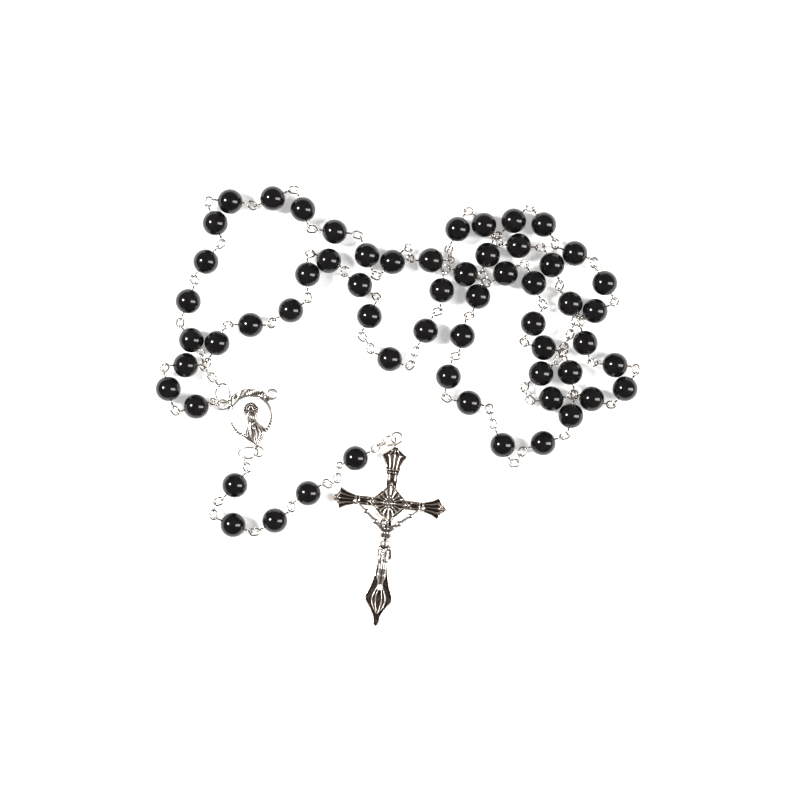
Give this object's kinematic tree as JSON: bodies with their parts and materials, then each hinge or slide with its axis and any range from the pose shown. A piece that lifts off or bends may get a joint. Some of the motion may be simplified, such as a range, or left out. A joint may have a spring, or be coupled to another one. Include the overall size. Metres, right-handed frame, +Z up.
{
  "type": "rosary",
  "caption": "Rosary laid out flat: glossy bead decades on wire eye pins joined by small links, an open centre medal with jump rings, and a pendant chain ending in a crucifix with its figure.",
  "frame": {"origin": "middle of the laid-out rosary's outline, on the table that it lies on", "axes": "+Z up from the table, +X along the outline's longest side, towards the far end of the bead loop from the medal, +Y away from the crucifix"},
  "size_m": [0.1346, 0.1226, 0.007],
  "materials": {
    "black_beads": "glossy black glass or resin beads",
    "silver_wire": "bright silver-plated wire",
    "medal_silver": "cast antique silver plating, darkened recesses",
    "crucifix_silver": "cast antique silver plating, strongly darkened recesses"
  },
  "bodies": {
    "medal": {"centre_medal": "medal_silver"},
    "decade_1_first": {"decade_1_first_beads": "black_beads", "decade_1_first_wires": "silver_wire"},
    "decade_1_middle": {"decade_1_middle_beads": "black_beads", "decade_1_middle_wires": "silver_wire"},
    "decade_1_last": {"decade_1_last_beads": "black_beads", "decade_1_last_wires": "silver_wire"},
    "our_father_1": {"our_father_1_wires": "silver_wire"},
    "our_father_1_spinner": {"our_father_1_bead": "black_beads"},
    "decade_2_first": {"decade_2_first_beads": "black_beads", "decade_2_first_wires": "silver_wire", "decade_2_middle_beads": "black_beads", "decade_2_middle_wires": "silver_wire"},
    "decade_2_last": {"decade_2_last_beads": "black_beads", "decade_2_last_wires": "silver_wire"},
    "our_father_2": {"our_father_2_wires": "silver_wire"},
    "our_father_2_spinner": {"our_father_2_bead": "black_beads"},
    "decade_3_first": {"decade_3_first_beads": "black_beads", "decade_3_first_wires": "silver_wire"},
    "decade_3_middle": {"decade_3_middle_beads": "black_beads", "decade_3_middle_wires": "silver_wire"},
    "decade_3_last": {"decade_3_last_beads": "black_beads", "decade_3_last_wires": "silver_wire", "our_father_3_wires": "silver_wire", "decade_4_first_beads": "black_beads", "decade_4_first_wires": "silver_wire"},
    "our_father_3_spinner": {"our_father_3_bead": "black_beads"},
    "decade_4_middle": {"decade_4_middle_beads": "black_beads", "decade_4_middle_wires": "silver_wire", "decade_4_last_beads": "black_beads", "decade_4_last_wires": "silver_wire"},
    "our_father_4": {"our_father_4_wires": "silver_wire"},
    "our_father_4_spinner": {"our_father_4_bead": "black_beads"},
    "decade_5_first": {"decade_5_first_beads": "black_beads", "decade_5_first_wires": "silver_wire"},
    "decade_5_middle": {"decade_5_middle_beads": "black_beads", "decade_5_middle_wires": "silver_wire"},
    "decade_5_last": {"decade_5_last_beads": "black_beads", "decade_5_last_wires": "silver_wire", "loop_end_ring": "silver_wire"},
    "pendant_1": {"pendant_1_wires": "silver_wire"},
    "pendant_1_spinner": {"pendant_1_bead": "black_beads"},
    "pendant_2": {"pendant_2_wires": "silver_wire"},
    "pendant_2_spinner": {"pendant_2_bead": "black_beads"},
    "pendant_3": {"pendant_3_wires": "silver_wire"},
    "pendant_3_spinner": {"pendant_3_bead": "black_beads"},
    "pendant_4": {"pendant_4_wires": "silver_wire"},
    "pendant_4_spinner": {"pendant_4_bead": "black_beads"},
    "pendant_5": {"pendant_5_wires": "silver_wire"},
    "pendant_5_spinner": {"pendant_5_bead": "black_beads"},
    "pendant_top": {"pendant_ring": "silver_wire", "pendant_top_links": "silver_wire"},
    "crucifix_swivel": {"crucifix_ring": "silver_wire", "crucifix_links": "silver_wire"},
    "crucifix": {"crucifix_cross": "crucifix_silver", "crucifix_corpus": "crucifix_silver"}
  },
  "joints": [
    {"name": "decade_1_first_lift", "type": "hinge", "parent": "medal", "child": "decade_1_first", "pos_m": [-0.0504, 0.00037, 0.0011], "axis": [-0.1736, 0.9848, 0], "range_deg": [-25, 0]},
    {"name": "decade_1_middle_lift", "type": "hinge", "parent": "decade_1_first", "child": "decade_1_middle", "pos_m": [-0.05245, 0.0134, 0.0021], "axis": [-0.766, 0.6428, 0], "range_deg": [0, 20]},
    {"name": "decade_1_last_lift", "type": "hinge", "parent": "decade_1_middle", "child": "decade_1_last", "pos_m": [-0.02336, 0.04239, 0.00172], "axis": [-0.342, -0.9397, 0], "range_deg": [-25, 0]},
    {"name": "our_father_1_lift", "type": "hinge", "parent": "decade_1_last", "child": "our_father_1", "pos_m": [-0.00685, 0.01493, 0.0035], "axis": [0.6428, -0.766, 0], "range_deg": [-25, 0]},
    {"name": "decade_2_first_lift", "type": "hinge", "parent": "our_father_1", "child": "decade_2_first", "pos_m": [0.00543, 0.01661, 0.0035], "axis": [0.5, 0.866, 0], "range_deg": [0, 25]},
    {"name": "decade_2_last_lift", "type": "hinge", "parent": "decade_2_first", "child": "decade_2_last", "pos_m": [0.04659, 0.01406, 0.0035], "axis": [0.9397, 0.342, 0], "range_deg": [0, 18]},
    {"name": "our_father_2_lift", "type": "hinge", "parent": "decade_2_last", "child": "our_father_2", "pos_m": [0.03109, -0.01519, 0.0035], "axis": [-0.9848, 0.1736, 0], "range_deg": [-25, 0]},
    {"name": "decade_3_first_lift", "type": "hinge", "parent": "our_father_2", "child": "decade_3_first", "pos_m": [0.02442, 0.00008, 0.0035], "axis": [1, 0, 0], "range_deg": [0, 30]},
    {"name": "decade_3_middle_lift", "type": "hinge", "parent": "decade_3_first", "child": "decade_3_middle", "pos_m": [0.02319, 0.03756, 0.0049], "axis": [0.766, -0.6428, 0], "range_deg": [-30, 0]},
    {"name": "decade_3_last_lift", "type": "hinge", "parent": "decade_3_middle", "child": "decade_3_last", "pos_m": [0.04443, 0.04402, 0.0035], "axis": [-0.866, 0.5, 0], "range_deg": [0, 30]},
    {"name": "decade_4_middle_lift", "type": "hinge", "parent": "decade_3_last", "child": "decade_4_middle", "pos_m": [0.06502, 0.01103, 0.00346], "axis": [0.342, 0.9397, 0], "range_deg": [0, 30]},
    {"name": "our_father_4_lift", "type": "hinge", "parent": "decade_4_middle", "child": "our_father_4", "pos_m": [0.01391, 0.04051, 0.00346], "axis": [-1, 0, 0], "range_deg": [0, 15]},
    {"name": "decade_5_first_lift", "type": "hinge", "parent": "our_father_4", "child": "decade_5_first", "pos_m": [0.00172, 0.04361, 0.00348], "axis": [0.6428, -0.766, 0], "range_deg": [-18, 0]},
    {"name": "decade_5_middle_lift", "type": "hinge", "parent": "decade_5_first", "child": "decade_5_middle", "pos_m": [-0.02495, 0.04998, 0.0035], "axis": [-0.6428, 0.766, 0], "range_deg": [0, 18]},
    {"name": "decade_5_last_lift", "type": "hinge", "parent": "decade_5_middle", "child": "decade_5_last", "pos_m": [-0.05034, 0.04386, 0.0035], "axis": [0.9848, -0.1736, 0], "range_deg": [-18, 0]},
    {"name": "pendant_top_lift", "type": "hinge", "parent": "medal", "child": "pendant_top", "pos_m": [-0.03896, -0.01273, 0.0011], "axis": [0.9397, -0.342, 0], "range_deg": [0, 12]},
    {"name": "pendant_1_lift", "type": "hinge", "parent": "pendant_top", "child": "pendant_1", "pos_m": [-0.04215, -0.01833, 0.0035], "axis": [-0.866, -0.5, 0], "range_deg": [0, 18]},
    {"name": "pendant_2_lift", "type": "hinge", "parent": "pendant_1", "child": "pendant_2", "pos_m": [-0.05038, -0.03117, 0.0035], "axis": [1, 0, 0], "range_deg": [0, 30]},
    {"name": "pendant_3_lift", "type": "hinge", "parent": "pendant_2", "child": "pendant_3", "pos_m": [-0.03835, -0.03436, 0.0035], "axis": [0.9848, 0.1736, 0], "range_deg": [-18, 0]},
    {"name": "pendant_4_lift", "type": "hinge", "parent": "pendant_3", "child": "pendant_4", "pos_m": [-0.0291, -0.02676, 0.0035], "axis": [0.9397, 0.342, 0], "range_deg": [-20, 0]},
    {"name": "pendant_5_lift", "type": "hinge", "parent": "pendant_4", "child": "pendant_5", "pos_m": [-0.02092, -0.02155, 0.0035], "axis": [-0.6428, -0.766, 0], "range_deg": [0, 15]},
    {"name": "crucifix_swivel_lift", "type": "hinge", "parent": "pendant_5", "child": "crucifix_swivel", "pos_m": [-0.00745, -0.01248, 0.0035], "axis": [-0.5, 0.866, 0], "range_deg": [0, 30]},
    {"name": "crucifix_turn", "type": "hinge", "parent": "crucifix_swivel", "child": "crucifix", "pos_m": [-0.00041, -0.00887, 0.0011], "axis": [0, 0, 1], "range_deg": [-8, 20]},
    {"name": "our_father_1_spin", "type": "hinge", "parent": "our_father_1", "child": "our_father_1_spinner", "pos_m": [-0.00238, 0.01305, 0.0035], "axis": [0.9215, -0.3883, 0], "continuous": true},
    {"name": "our_father_2_spin", "type": "hinge", "parent": "our_father_2", "child": "our_father_2_spinner", "pos_m": [0.02899, -0.01082, 0.0035], "axis": [-0.4322, 0.9018, 0.0004], "continuous": true},
    {"name": "our_father_3_spin", "type": "hinge", "parent": "decade_3_last", "child": "our_father_3_spinner", "pos_m": [0.03962, 0.00904, 0.0035], "axis": [-0.7313, -0.5583, -0.3918], "continuous": true},
    {"name": "our_father_4_spin", "type": "hinge", "parent": "our_father_4", "child": "our_father_4_spinner", "pos_m": [0.00906, 0.04047, 0.0035], "axis": [-0.9999, -0.0084, 0.0087], "continuous": true},
    {"name": "pendant_1_spin", "type": "hinge", "parent": "pendant_1", "child": "pendant_1_spinner", "pos_m": [-0.04538, -0.02195, 0.0035], "axis": [-0.666, -0.7459, 0], "continuous": true},
    {"name": "pendant_2_spin", "type": "hinge", "parent": "pendant_2", "child": "pendant_2_spinner", "pos_m": [-0.04587, -0.03295, 0.0035], "axis": [0.9308, -0.3655, 0], "continuous": true},
    {"name": "pendant_3_spin", "type": "hinge", "parent": "pendant_3", "child": "pendant_3_spinner", "pos_m": [-0.03426, -0.03175, 0.0035], "axis": [0.8431, 0.5377, 0], "continuous": true},
    {"name": "pendant_4_spin", "type": "hinge", "parent": "pendant_4", "child": "pendant_4_spinner", "pos_m": [-0.02501, -0.02416, 0.0035], "axis": [0.8435, 0.5371, 0], "continuous": true},
    {"name": "pendant_5_spin", "type": "hinge", "parent": "pendant_5", "child": "pendant_5_spinner", "pos_m": [-0.01188, -0.01445, 0.0035], "axis": [0.9138, 0.4062, 0], "continuous": true}
  ]
}
